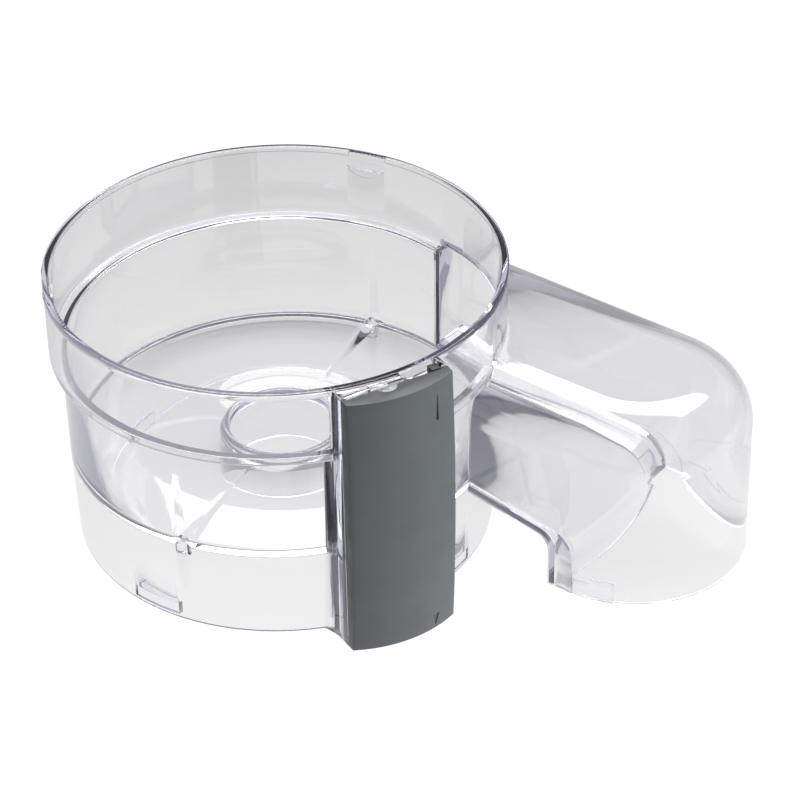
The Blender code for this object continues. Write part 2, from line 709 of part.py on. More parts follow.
def build_spring(parts, frame, material):
    """A compression spring between the shelf and the rod's collar, with its ends wound flat."""
    foot = SPRING_SEAT + SPRING_WIRE + SPRING_GAP
    head = COLLAR_TOP - COLLAR_HEIGHT - SPRING_WIRE - SPRING_GAP
    mean = SPRING_RADIUS - SPRING_WIRE
    data = bpy.data.curves.new("interlock_spring", "CURVE")
    data.dimensions = "3D"
    data.bevel_depth = SPRING_WIRE
    data.bevel_resolution = 1
    data.use_fill_caps = True
    count = SPRING_TURNS * SPRING_STEPS
    spline = data.splines.new("POLY")
    spline.points.add(count)
    for index in range(count + 1):
        angle = 2 * math.pi * index / SPRING_STEPS
        share = min(max((index / count * SPRING_TURNS - 1) / (SPRING_TURNS - 2), 0), 1)
        lead = 2.5 * SPRING_WIRE
        rise = foot + lead * min(index / SPRING_STEPS, 1)
        rise += (head - foot - 2 * lead) * share
        rise += lead * min(max(index / SPRING_STEPS - SPRING_TURNS + 1, 0), 1)
        spline.points[index].co = (mean * math.cos(angle), mean * math.sin(angle), rise, 1)
    spring = add_object("interlock_spring", data, bpy.context.scene.collection)
    bpy.context.view_layer.update()
    graph = bpy.context.evaluated_depsgraph_get()
    mesh = bpy.data.meshes.new_from_object(spring.evaluated_get(graph))
    bpy.data.objects.remove(spring, do_unlink=True)
    bm = bmesh.new()
    bm.from_mesh(mesh)
    bmesh.ops.remove_doubles(bm, verts=bm.verts, dist=0.000001)
    spring = mesh_object("interlock_spring", bm, parts, frame)
    spring.location = (ROD_OUT, ROD_SIDE, 0)
    spring.data.materials.append(material)
    return spring


def main():
    clear_scene()
    parts = new_collection("food_processor_bowl")
    tools = new_collection("cutters")
    frame = add_object("handle_frame", None, parts)
    frame.rotation_euler = (0, 0, math.radians(HANDLE_ANGLE))
    bpy.context.view_layer.update()

    clear = plastic("clear_plastic", (0.92, 0.92, 0.95), 0.06, transmission=0.9)
    grey = plastic("grey_grip", (0.14, 0.16, 0.17), 0.55)
    black = plastic("black_plastic", (0.02, 0.02, 0.022), 0.4)
    steel = plastic("spring_steel", (0.6, 0.6, 0.62), 0.3, metallic=1.0)

    built = [
        build_bowl(parts, tools, frame, clear),
        build_hood(parts, tools, clear),
        build_tray(parts, tools, clear),
        build_cover(parts, tools, frame, grey),
        build_rod(parts, tools, frame, black),
        build_spring(parts, frame, steel),
    ]
    for obj in built:
        smooth(obj)


main()
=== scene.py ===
"""The looks of a clear food-processor work bowl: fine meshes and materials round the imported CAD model.

Everything is in metres in the CAD model's frame: +Z up on the bowl's axis, +X along the discharge chute.
"""

import json
import math

import bmesh
import bpy
from mathutils import Matrix, Vector

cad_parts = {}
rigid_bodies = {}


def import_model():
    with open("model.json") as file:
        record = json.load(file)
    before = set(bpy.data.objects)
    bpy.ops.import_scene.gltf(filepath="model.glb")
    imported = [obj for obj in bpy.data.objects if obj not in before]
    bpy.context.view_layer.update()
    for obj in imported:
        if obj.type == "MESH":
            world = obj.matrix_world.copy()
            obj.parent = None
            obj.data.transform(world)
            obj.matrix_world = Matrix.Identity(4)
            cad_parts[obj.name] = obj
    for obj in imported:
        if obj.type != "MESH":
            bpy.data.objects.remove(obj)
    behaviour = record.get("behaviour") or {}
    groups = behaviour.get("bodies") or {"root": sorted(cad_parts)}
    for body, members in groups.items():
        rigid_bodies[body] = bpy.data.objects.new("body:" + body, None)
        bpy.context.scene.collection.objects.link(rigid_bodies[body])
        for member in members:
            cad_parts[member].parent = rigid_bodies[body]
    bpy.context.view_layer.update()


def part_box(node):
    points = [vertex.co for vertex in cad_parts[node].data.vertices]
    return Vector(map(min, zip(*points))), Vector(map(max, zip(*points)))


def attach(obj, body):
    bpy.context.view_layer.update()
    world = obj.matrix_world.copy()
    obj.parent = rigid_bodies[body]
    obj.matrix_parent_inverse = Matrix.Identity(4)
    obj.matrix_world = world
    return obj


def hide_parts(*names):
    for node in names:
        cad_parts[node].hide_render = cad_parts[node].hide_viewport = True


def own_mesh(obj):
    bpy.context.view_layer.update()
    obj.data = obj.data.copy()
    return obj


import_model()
bowl_low, bowl_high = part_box("bowl")
hood_low, hood_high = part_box("chute_hood")
spring_low, spring_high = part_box("interlock_spring")

# Bowl
RIM_RADIUS = -bowl_low.x
BOWL_HEIGHT = bowl_high.z
WALL = 0.0024
LIP_HEIGHT = 0.0030
LIP_STEP = 0.0006
BAND_HEIGHT = 0.0342
LEDGE_STEP = 0.0047
BODY_DRAFT = 0.0005
SKIRT_DRAFT = 0.0012
FLOOR_TOP = 0.0408
FLOOR_THICKNESS = 0.0024
TURN_STEPS = 240
FILLET_STEPS = 4

BAND_RADIUS = RIM_RADIUS - LIP_STEP
BODY_RADIUS = BAND_RADIUS - LEDGE_STEP
BODY_FOOT_RADIUS = BODY_RADIUS - BODY_DRAFT
SKIRT_RADIUS = BODY_FOOT_RADIUS - SKIRT_DRAFT
LEDGE_HEIGHT = BOWL_HEIGHT - BAND_HEIGHT

# Drive neck
NECK_RADIUS = 0.0255
NECK_WALL = 0.0030
NECK_RISE = 0.0027
NECK_DROP = 0.0218

# Lugs
LID_LUG_COUNT = 3
LID_LUG_ANGLE = 105.4
LID_LUG_WIDTH = 0.0170
LID_LUG_HEIGHT = 0.0038
LID_LUG_DROP = 0.0070
LID_LUG_DEPTH = 0.0016
BASE_LUG_COUNT = 4
BASE_LUG_ANGLE = -87.5
BASE_LUG_SPAN = 15.0
BASE_LUG_DEPTH = 0.0028
BASE_LUG_FOOT = 0.0010
BASE_LUG_HEIGHT = 0.0055
STOP_ANGLES = (-77.0, 103.0)
STOP_RADIUS = 0.0032
STOP_DROP = 0.0040

# Discharge chute
NEAR_SIDE = hood_low.y
FAR_SIDE = hood_high.y
CHUTE_WIDTH = FAR_SIDE - NEAR_SIDE
CHUTE_MIDDLE = (NEAR_SIDE + FAR_SIDE) / 2
CHUTE_START = hood_low.x
CHUTE_END_CENTRE = hood_high.x - CHUTE_WIDTH / 2
CHUTE_TOP = hood_high.z
CHUTE_ROUND = 0.0245
CHUTE_WALL = 0.0025
MOUTH_HEIGHT = hood_low.z
RAMP_SLOPE_NEAR = 0.150
RAMP_SLOPE_FAR = 0.130
RAMP_THICKNESS = 0.0026
RAMP_TURN_NEAR = 0.0085
RAMP_TURN_FAR = 0.0180
RAMP_REACH_NEAR = 0.0430
RAMP_REACH_FAR = 0.0353
DROP_WALL_NEAR = BODY_FOOT_RADIUS + RAMP_REACH_NEAR
DROP_WALL_FAR = BODY_FOOT_RADIUS + RAMP_REACH_FAR
FLANGE_THICKNESS = 0.0012
FLANGE_RISE = 0.0018
FLANGE_LAP = 0.0088
MOUTH_BAND_REACH = 0.0195
MOUTH_BAND_STEP = 0.0105
MOUTH_BAND_LOW = 0.0080
MOUTH_BAND_HIGH = 0.0102
MOUTH_BAND_STEP_ANGLE = 0.001

# Handle, in its own frame: U points out from the bowl, V is sideways
HANDLE_ANGLE = -22.4
HANDLE_WIDTH = 0.0466
HANDLE_DROP = 0.0006
HANDLE_TOP = BOWL_HEIGHT - HANDLE_DROP
BRACKET_WALL = 0.0021
BRACKET_INSIDE = HANDLE_WIDTH / 2 - BRACKET_WALL
BRACKET_FLARE = 0.0046
BRACKET_REACH = 0.0140
LEDGE_PLATE = 0.0022
MIDDLE_SLOT_WIDTH = 0.0140
LEFT_SLOT_INSET = 0.0004
SLOT_WEB = 0.0078
ROD_WEB = 0.0041
SLOT_DEPTH = 0.0015
LEFT_SLOT_SETBACK = 0.0017
MIDDLE_SLOT_SETBACK = 0.0012
BRACKET_DEPTH = 0.0092
COVER_BACK = BODY_RADIUS + BRACKET_DEPTH
COVER_WALL = 0.0022
COVER_FOOT = 0.0004
COVER_DEPTH_TOP = 0.0099
COVER_DEPTH_MIDDLE = 0.0115
COVER_DEPTH_FOOT = 0.0090
COVER_CROWN = 0.0054
COVER_LIP_SETBACK = 0.0011
COVER_LIP_BACK = COVER_BACK + COVER_LIP_SETBACK
COVER_NOTCH_SIDE = -0.0035
COVER_NOTCH_RADIUS = 0.0045
MARK_DEPTH = 0.0005
LINE_INSET = 0.0093
LINE_WIDTH = 0.0011
LINE_HEIGHT = 0.0114
LINE_DROP = 0.0058
ARROW_INSET = 0.0106
ARROW_WIDTH = 0.0034
ARROW_LOW = 0.0020
ARROW_HEIGHT = 0.0058

# Interlock rod and spring
ROD_WIDTH = 0.0040
ROD_SETBACK = 0.0015
ROD_OUT = COVER_BACK - ROD_SETBACK
ROD_PROUD = 0.0002
ROD_TOP = HANDLE_TOP + ROD_PROUD
ROD_FOOT = 0.0030
ROD_CLEARANCE = 0.0003
TAIL_RADIUS = 0.0015
COLLAR_HEIGHT = 0.0025
COLLAR_WIDTH = 0.0068
COLLAR_SIDE = 0.0050
ROD_SIDE = BRACKET_INSIDE - COLLAR_SIDE / 2 - ROD_CLEARANCE
SPRING_SEAT = 0.0620
SPRING_ROOM = 0.0185
COLLAR_TOP = SPRING_SEAT + SPRING_ROOM + COLLAR_HEIGHT
SPRING_WIRE = 0.0003
SPRING_TURNS = 6
SPRING_STEPS = 32
SHELF_THICKNESS = 0.0024
SHELF_WIDTH = 0.0120
FOOT_SHELF = 0.0080

GAP = 0.0003
OFFSET = 0.0001
DEEP = 0.0300
FINE_EDGE = 0.00022
GRIP_EDGE = 0.0004
ROD_EDGE = 0.0003
WELD_DISTANCE = 0.000004

# Clear plastic
MOST_FACES = 8.5
MOST_MIRRORINGS = 2.5
PLASTIC_TINT = (0.60, 0.58, 0.74, 1)
PLASTIC_DENSITY = 24.0
# Painted shade: the grey tone of rays passed on deep in the plastic, darker for the bowl's edge lines than
# for the chute.
BOWL_DEEP_PAINTED_SHADE = (0.42, 0.42, 0.47)
CHUTE_DEEP_PAINTED_SHADE = (0.74, 0.74, 0.78)

# Camera and stage
CAMERA_PLACE = (0.70633, -0.79357, 0.79432)
CAMERA_TURN = 39.0
CAMERA_TILT = 34.979
CAMERA_ROLL = -1.167
CAMERA_LENS = 139.27
CAMERA_SENSOR = 36
CAMERA_CLIP_START = 0.05
FLOOR_SIZE = 12.0
FLOOR_BACK = (-0.63, 0.777, 0.0)
FLOOR_FRONT = -0.55
FLOOR_NEAR = -0.10
FLOOR_FAR = 0.34
# Painted light: the floor's glow as seen through the plastic, falling off from bright near the bowl to
# darker in front and behind.
FLOOR_FRONT_PAINTED_LIGHT = 0.22
FLOOR_NEAR_PAINTED_LIGHT = 0.87
FLOOR_FAR_PAINTED_LIGHT = 0.52
FLOOR_DROP = 0.0002
WORLD_STRENGTH = 0.50
LIGHT_TARGET = (0.04, 0.0, 0.06)
OVERHEAD_PLACE = (-0.25, 0.75, 1.5)
OVERHEAD_SIZE = (1.7, 0.8)
OVERHEAD_POWER = 27.0
SIDE_PLACE = (1.5, 0.55, 0.30)
SIDE_SIZE = (0.6, 0.6)
SIDE_POWER = 42.0

pieces = bpy.data.collections.new("pieces")
tools = bpy.data.collections.new("tools")
bpy.context.scene.collection.children.link(pieces)
bpy.context.scene.collection.children.link(tools)
HANDLE = Matrix.Rotation(math.radians(HANDLE_ANGLE), 4, "Z")


# ---------------------------------------------------------------- modelling helpers


def mesh_object(name, bm, matrix=None):
    bmesh.ops.recalc_face_normals(bm, faces=bm.faces)
    mesh = bpy.data.meshes.new(name)
    bm.to_mesh(mesh)
    bm.free()
    if matrix is not None:
        mesh.transform(matrix)
    obj = bpy.data.objects.new(name, mesh)
    tools.objects.link(obj)
    return obj


def combine(obj, tool, operation):
    modifier = obj.modifiers.new(tool.name, "BOOLEAN")
    modifier.operation = operation
    modifier.solver = "EXACT"
    modifier.object = tool


def cut(obj, tool):
    combine(obj, tool, "DIFFERENCE")


def join(obj, tool):
    combine(obj, tool, "UNION")


def finished(name, obj, edge=FINE_EDGE, degrees=30):
    """The object with its cuts applied, its edges rounded and its smooth faces shaded smooth."""
    if edge:
        weld = obj.modifiers.new("weld", "WELD")
        weld.merge_threshold = WELD_DISTANCE
        bevel = obj.modifiers.new("edge", "BEVEL")
        bevel.width = edge
        bevel.segments = 2
        bevel.limit_method = "ANGLE"
        bevel.angle_limit = math.radians(degrees)
        bevel.miter_outer = "MITER_ARC"
        bevel.use_clamp_overlap = True
    bpy.context.view_layer.update()
    graph = bpy.context.evaluated_depsgraph_get()
    mesh = bpy.data.meshes.new_from_object(obj.evaluated_get(graph))
    mesh.name = name
    mesh.materials.clear()
    mesh.shade_smooth()
    mesh.set_sharp_from_angle(angle=math.radians(degrees))
    piece = bpy.data.objects.new(name, mesh)
    pieces.objects.link(piece)
    return piece


def rounded(corners):
    """An outline through (x, y, fillet radius) corners, closed, with each fillet as an arc."""
    points = []
    for index, (x, y, radius) in enumerate(corners):
        corner = Vector((x, y))
        before = (Vector(corners[index - 1][:2]) - corner).normalized()
        after = (Vector(corners[(index + 1) % len(corners)][:2]) - corner).normalized()
        half = before.angle(after) / 2
        if radius == 0 or math.pi / 2 - half < 0.01:
            points.append(corner)
            continue
        centre = corner + (before + after).normalized() * radius / math.sin(half)
        first = corner + before * radius / math.tan(half) - centre
        last = corner + after * radius / math.tan(half) - centre
        turn = first.angle_signed(last)
        for step in range(FILLET_STEPS + 1):
            share = -turn * step / FILLET_STEPS
            points.append(centre + Matrix.Rotation(share, 2) @ first)
    return [(point.x, point.y) for point in points]


def turned(name, profile):
    """A closed solid: a closed profile of (radius, height) points turned round Z."""
    bm = bmesh.new()
    rows = []
    for radius, height in profile:
        if radius < 1e-9:
            rows.append([bm.verts.new((0, 0, height))])
            continue
        turn = [2 * math.pi * k / TURN_STEPS for k in range(TURN_STEPS)]
        rows.append([bm.verts.new((radius * math.cos(a), radius * math.sin(a), height)) for a in turn])
    for lower, upper in zip(rows, rows[1:] + rows[:1]):
        if len(lower) == len(upper) == 1:
            continue
        for k in range(TURN_STEPS):
            after = (k + 1) % TURN_STEPS
            if len(lower) == 1:
                bm.faces.new((lower[0], upper[after], upper[k]))
            elif len(upper) == 1:
                bm.faces.new((lower[k], lower[after], upper[0]))
            else:
                bm.faces.new((lower[k], lower[after], upper[after], upper[k]))
    return mesh_object(name, bm)


def prism(name, outline, low, high, matrix=None):
    bm = bmesh.new()
    face = bm.faces.new([bm.verts.new((x, y, low)) for x, y in outline])
    raised = bmesh.ops.extrude_face_region(bm, geom=[face])
    top = [v for v in raised["geom"] if isinstance(v, bmesh.types.BMVert)]
    bmesh.ops.translate(bm, verts=top, vec=(0, 0, high - low))
    return mesh_object(name, bm, matrix)


def box(name, low, high, matrix=None):
    bm = bmesh.new()
    bmesh.ops.create_cube(bm, size=1)
    bmesh.ops.scale(bm, vec=Vector(high) - Vector(low), verts=bm.verts)
    bmesh.ops.translate(bm, vec=(Vector(high) + Vector(low)) / 2, verts=bm.verts)
    return mesh_object(name, bm, matrix)


def peg(name, radius, low, high, place, matrix=None):
    bm = bmesh.new()
    bmesh.ops.create_cone(bm, cap_ends=True, segments=32, radius1=radius, radius2=radius, depth=high - low)
    bmesh.ops.translate(bm, vec=(*place, (low + high) / 2), verts=bm.verts)
    return mesh_object(name, bm, matrix)


def loft(name, rings, matrix=None):
    """Joins closed rings of equal point counts into a solid with flat ends."""
    bm = bmesh.new()
    loops = [[bm.verts.new(point) for point in ring] for ring in rings]
    count = len(loops[0])
    for lower, upper in zip(loops, loops[1:]):
        for index in range(count):
            after = (index + 1) % count
            bm.faces.new((lower[index], lower[after], upper[after], upper[index]))
    bm.faces.new(loops[0])
    bm.faces.new(loops[-1])
    return mesh_object(name, bm, matrix)


def arc(centre, radius, start, end, steps):
    """Points (x, y) on an arc, angles in degrees, both ends included."""
    points = []
    for step in range(steps + 1):
        angle = math.radians(start + (end - start) * step / steps)
        points.append((centre[0] + radius * math.cos(angle), centre[1] + radius * math.sin(angle)))
    return points


def sector(inner, outer, middle, span, steps):
    first, last = middle - span / 2, middle + span / 2
    return arc((0, 0), outer, first, last, steps) + arc((0, 0), inner, last, first, steps)


# ---------------------------------------------------------------- bowl


def wall_corners(offset):
    """The bowl's outside from rim to foot as (radius, height, fillet), moved out by offset."""
    return [
        (RIM_RADIUS + offset, BOWL_HEIGHT, 0.0008),
        (RIM_RADIUS + offset, BOWL_HEIGHT - LIP_HEIGHT, 0.0003),
        (BAND_RADIUS + offset, BOWL_HEIGHT - LIP_HEIGHT, 0.0003),
        (BAND_RADIUS + offset, LEDGE_HEIGHT - offset, 0.0012),
        (BODY_RADIUS + offset, LEDGE_HEIGHT - offset, 0.0006),
        (BODY_FOOT_RADIUS + offset, FLOOR_TOP - FLOOR_THICKNESS, 0),
        (SKIRT_RADIUS + offset, 0, 0.0007),
    ]


def bowl_profile():
    floor_foot = FLOOR_TOP - FLOOR_THICKNESS
    neck_top = FLOOR_TOP + NECK_RISE
    neck_foot = FLOOR_TOP - NECK_DROP
    inside = NECK_RADIUS - NECK_WALL
    return rounded(
        wall_corners(0)
        + [
            (SKIRT_RADIUS - WALL, 0, 0.0005),
            (BODY_FOOT_RADIUS - WALL, floor_foot, 0.0008),
            (NECK_RADIUS, floor_foot, 0.0008),
            (NECK_RADIUS, neck_foot, 0.0006),
            (inside, neck_foot, 0.0006),
            (inside, neck_top, 0.0012),
            (NECK_RADIUS, neck_top, 0.0014),
            (NECK_RADIUS, FLOOR_TOP, 0.0009),
            (BODY_FOOT_RADIUS - WALL, FLOOR_TOP, 0.0012),
            (BODY_RADIUS - WALL, LEDGE_HEIGHT + WALL, 0.0008),
            (BAND_RADIUS - WALL, LEDGE_HEIGHT + WALL, 0.0012),
            (BAND_RADIUS - WALL, BOWL_HEIGHT, 0.0005),
        ]
    )


def bowl_plug(name, offset):
    """A solid that fills the bowl's outside, moved out by offset."""
    corners = wall_corners(offset)
    top = [(0, BOWL_HEIGHT + DEEP, 0), (corners[0][0], BOWL_HEIGHT + DEEP, 0)]
    walls = [(radius, height, 0) for radius, height, _ in corners]
    foot = [(corners[-1][0], -DEEP, 0), (0, -DEEP, 0)]
    return turned(name, rounded(top + walls + foot))


def lid_lug(number):
    """A half-moon boss on the inside of the band, flat side up, that the lid turns under."""
    angle = LID_LUG_ANGLE + 360 * number / LID_LUG_COUNT
    half = LID_LUG_WIDTH / 2
    radius = (half**2 + LID_LUG_HEIGHT**2) / (2 * LID_LUG_HEIGHT)
    reach = math.degrees(math.asin(half / radius))
    outline = arc((0, radius - LID_LUG_HEIGHT), radius, -90 - reach, -90 + reach, 24)
    stand = Matrix.Rotation(math.radians(180), 4, "Z") @ Matrix.Rotation(math.radians(90), 4, "X")
    face = Matrix.Translation((0, BAND_RADIUS - WALL - LID_LUG_DEPTH, BOWL_HEIGHT - LID_LUG_DROP)) @ stand
    turn = Matrix.Rotation(math.radians(angle - 90), 4, "Z") @ face
    return prism(f"lid_lug_{number + 1}", outline, 0, LID_LUG_DEPTH + WALL / 2, turn)


def lip_gap(number):
    """The break in the outer lip above a lid lug."""
    angle = LID_LUG_ANGLE + 360 * number / LID_LUG_COUNT
    span = math.degrees(LID_LUG_WIDTH / BAND_RADIUS)
    outline = sector(BAND_RADIUS + LIP_STEP / 4, RIM_RADIUS + DEEP, angle, span, 12)
    low = BOWL_HEIGHT - LIP_HEIGHT - 2 * LIP_STEP
    return prism(f"lip_gap_{number + 1}", outline, low, BOWL_HEIGHT + DEEP)


def base_lug(number):
    """A step inside the skirt that turns under a lug of the motor base."""
    angle = BASE_LUG_ANGLE + 360 * number / BASE_LUG_COUNT
    inner = SKIRT_RADIUS - WALL - BASE_LUG_DEPTH
    outline = sector(inner, SKIRT_RADIUS - WALL / 2, angle, BASE_LUG_SPAN, 12)
    return prism(f"base_lug_{number + 1}", outline, BASE_LUG_FOOT, BASE_LUG_FOOT + BASE_LUG_HEIGHT)


def turn_stop(number):
    angle = math.radians(STOP_ANGLES[number])
    centre = BODY_FOOT_RADIUS - WALL
    low = FLOOR_TOP - FLOOR_THICKNESS - STOP_DROP
    high = FLOOR_TOP - FLOOR_THICKNESS / 2
    place = (centre * math.cos(angle), centre * math.sin(angle))
    return peg(f"turn_stop_{number + 1}", STOP_RADIUS, low, high, place)


def ledge_slots():
    """The slots in the bracket's top plate as (name, low side, high side, back, front)."""
    middle_high = ROD_SIDE - ROD_WIDTH / 2 - ROD_CLEARANCE - ROD_WEB
    middle_low = middle_high - MIDDLE_SLOT_WIDTH
    left_low = LEFT_SLOT_INSET - BRACKET_INSIDE
    left_front = COVER_BACK - LEFT_SLOT_SETBACK
    middle_front = COVER_BACK - MIDDLE_SLOT_SETBACK
    return [
        ("left_slot", left_low, middle_low - SLOT_WEB, left_front - SLOT_DEPTH, left_front),
        ("middle_slot", middle_low, middle_high, middle_front - SLOT_DEPTH, middle_front),
    ]


def shelf(name, top):
    low = (BODY_RADIUS - WALL, BRACKET_INSIDE - SHELF_WIDTH, top - SHELF_THICKNESS)
    high = (COVER_BACK - GAP - OFFSET, BRACKET_INSIDE + BRACKET_WALL / 2, top)
    return box(name, low, high, HANDLE)


def rod_path(name, half, low, high):
    notch = half + ROD_CLEARANCE
    corners = (ROD_OUT - notch, ROD_SIDE - notch, low), (ROD_OUT + DEEP, ROD_SIDE + notch, high)
    return box(name, *corners, HANDLE)


def bracket():
    """The handle bracket: two flared side walls, a plate that closes their top and three notched shelves."""
    half = HANDLE_WIDTH / 2
    front = COVER_BACK - GAP
    root = BODY_RADIUS - 2 * BRACKET_FLARE
    steps = 10
    side = []
    for step in range(steps + 1):
        share = step / steps
        side.append((root + BRACKET_REACH * share, half + BRACKET_FLARE * (1 - share) ** 2))
    outline = [(u, -v) for u, v in side] + [(front, -half), (front, half)]
    outline += [(u, v) for u, v in reversed(side)]
    block = prism("bracket", outline, 0, HANDLE_TOP, HANDLE)
    low = (BODY_RADIUS - DEEP, -BRACKET_INSIDE, -DEEP)
    high = (BODY_RADIUS + DEEP, BRACKET_INSIDE, HANDLE_TOP - LEDGE_PLATE)
    cut(block, box("bracket_hollow", low, high, HANDLE))
    for number, top in enumerate((FOOT_SHELF, SPRING_SEAT, COLLAR_TOP + GAP + SHELF_THICKNESS)):
        join(block, shelf(f"shelf_{number + 1}", top))
    middle = (SPRING_SEAT + COLLAR_TOP) / 2
    cut(block, rod_path("tail_path", TAIL_RADIUS, -DEEP, middle))
    cut(block, rod_path("rod_path", ROD_WIDTH / 2, middle, HANDLE_TOP + DEEP))
    for name, left, right, back, front in ledge_slots():
        corners = (back, left, HANDLE_TOP - 2 * LEDGE_PLATE), (front, right, HANDLE_TOP + DEEP)
        cut(block, box(name, *corners, HANDLE))
    cut(block, bowl_plug("bracket_trim", -WALL / 2))
    return block


def build_bowl():
    bowl = turned("bowl_body", bowl_profile())
    join(bowl, bracket())
    for number in range(LID_LUG_COUNT):
        join(bowl, lid_lug(number))
        cut(bowl, lip_gap(number))
    for number in range(BASE_LUG_COUNT):
        join(bowl, base_lug(number))
    for number in range(len(STOP_ANGLES)):
        join(bowl, turn_stop(number))
    cut(bowl, chute_solid("window", CHUTE_WALL, CHUTE_START + CHUTE_WALL, FLOOR_TOP + GAP / 2))
    return finished("bowl_moulding", bowl)


# ---------------------------------------------------------------- chute


def chute_solid(name, inset, start, foot):
    """The chute's outside, moved in by inset: a long arch with one round end."""
    half = CHUTE_WIDTH / 2 - inset
    top = CHUTE_TOP - inset
    outline = [(start, CHUTE_MIDDLE - half)]
    outline += arc((CHUTE_END_CENTRE, CHUTE_MIDDLE), half, -90, 90, 72)
    outline += [(start, CHUTE_MIDDLE + half)]
    bm = bmesh.new()
    face = bm.faces.new([bm.verts.new((x, y, foot)) for x, y in outline])
    raised = bmesh.ops.extrude_face_region(bm, geom=[face])
    verts = [v for v in raised["geom"] if isinstance(v, bmesh.types.BMVert)]
    bmesh.ops.translate(bm, verts=verts, vec=(0, 0, top - foot))
    bmesh.ops.recalc_face_normals(bm, faces=bm.faces)
    top_edges = [
        edge
        for edge in bm.edges
        if all(abs(v.co.z - top) < 1e-6 for v in edge.verts)
        and not all(abs(v.co.x - start) < 1e-6 for v in edge.verts)
    ]
    rounding = {"offset": CHUTE_ROUND - inset, "offset_type": "OFFSET", "segments": 20, "profile": 0.5}
    bmesh.ops.bevel(bm, geom=top_edges, affect="EDGES", **rounding)
    return mesh_object(name, bm)


def across(near, far, y):
    """A value that changes evenly from the chute's near side to its far side."""
    return near + (far - near) * (y - NEAR_SIDE) / CHUTE_WIDTH


def ramp_start(y):
    """Where the ramp meets the bowl at this distance from the bowl's middle plane."""
    reach = (BODY_FOOT_RADIUS + GAP) ** 2 - y**2
    return max(math.sqrt(reach), CHUTE_START) if reach > 0 else CHUTE_START


def ramp_line(y, lift, lap=None, shift=0):
    """The ramp's top line at y as (x, z): down the slope, round the turn and down past the mouth."""
    lap = lift if lap is None else lap
    fall = across(RAMP_SLOPE_NEAR, RAMP_SLOPE_FAR, y)
    slope = math.atan(fall)
    radius = across(RAMP_TURN_NEAR, RAMP_TURN_FAR, y)
    wall = across(DROP_WALL_NEAR, DROP_WALL_FAR, y)
    centre_x = wall - radius
    turn_x = centre_x + radius * math.sin(slope)
    turn_z = FLOOR_TOP - fall * (turn_x - ramp_start(y))
    centre_z = turn_z - radius * math.cos(slope)
    points = [(ramp_start(y) + shift, FLOOR_TOP - fall * shift + lift / math.cos(slope))]
    steps = 16
    for step in range(steps + 1):
        share = step / steps
        angle = (math.pi / 2 - slope) * (1 - share)
        reach = radius + lift + (lap - lift) * share
        points.append((centre_x + reach * math.cos(angle), centre_z + reach * math.sin(angle)))
    points.append((wall + lap, MOUTH_HEIGHT - DEEP))
    return points


def ramp_stations():
    """Distances across the chute at which the ramp is drawn, close together where the bowl curves away."""
    edge = GAP + FLANGE_THICKNESS / 2
    near = math.degrees(math.asin((NEAR_SIDE - edge) / (BODY_FOOT_RADIUS + GAP)))
    far = math.degrees(math.acos(CHUTE_START / (BODY_FOOT_RADIUS + GAP)))
    curve = [point[1] for point in arc((0, 0), BODY_FOOT_RADIUS + GAP, near, far, 40)]
    return curve + [FAR_SIDE + edge]


def ring_at(y, over, under):
    return [(x, y, z) for x, z in over] + [(x, y, z) for x, z in reversed(under)]


def end_at(piece, height):
    """Cuts off all of a chute piece that hangs below this height."""
    low = (CHUTE_START - DEEP, NEAR_SIDE - DEEP, height - 2 * DEEP)
    high = (CHUTE_END_CENTRE + CHUTE_WIDTH, FAR_SIDE + DEEP, height)
    cut(piece, box(f"{piece.name}_end", low, high))


def flange(name, side, out):
    rings = []
    for y in (side + out * GAP, side + out * (GAP + FLANGE_THICKNESS)):
        over = ramp_line(side, FLANGE_RISE, FLANGE_LAP, shift=GAP)
        under = ramp_line(side, -RAMP_THICKNESS - GAP, shift=GAP)
        rings.append(ring_at(y, over, under))
    edge = loft(name, rings)
    end_at(edge, MOUTH_HEIGHT)
    return edge


def band_ring(centre, way, inner, outer, height):
    near, far = centre + way * inner, centre + way * outer
    low, high = MOUTH_HEIGHT + FLANGE_THICKNESS / 8, MOUTH_HEIGHT + height
    return [(*near, low), (*far, low), (*far, high), (*near, high)]


def mouth_band(name, out):
    """The stepped band of the tray that laps round the foot of the hood's outlet."""
    inset = FLANGE_THICKNESS / 8
    half = CHUTE_WIDTH / 2 + GAP
    inner, outer = half + inset, half + FLANGE_THICKNESS - inset
    begin = DROP_WALL_NEAR if out < 0 else DROP_WALL_FAR
    centre = Vector((CHUTE_END_CENTRE, CHUTE_MIDDLE))
    rings = [band_ring(Vector((begin, CHUTE_MIDDLE)), Vector((0, out)), inner, outer, MOUTH_BAND_LOW)]
    step = math.asin(MOUTH_BAND_STEP / half)
    last = math.asin(MOUTH_BAND_REACH / half)
    angles = [(step * k / 6, MOUTH_BAND_LOW) for k in range(7)]
    angles += [(step + MOUTH_BAND_STEP_ANGLE + (last - step) * k / 6, MOUTH_BAND_HIGH) for k in range(7)]
    for angle, height in angles:
        way = Vector((math.sin(angle), out * math.cos(angle)))
        rings.append(band_ring(centre, way, inner, outer, height))
    return loft(name, rings)


def build_tray():
    rings = [ring_at(y, ramp_line(y, 0), ramp_line(y, -RAMP_THICKNESS)) for y in ramp_stations()]
    tray = loft("tray_body", rings)
    end_at(tray, MOUTH_HEIGHT + GAP)
    for name, side, out in (("near", NEAR_SIDE, -1), ("far", FAR_SIDE, 1)):
        join(tray, flange(f"flange_{name}", side, out))
        join(tray, mouth_band(f"mouth_band_{name}", out))
    return finished("chute_tray_moulding", tray)


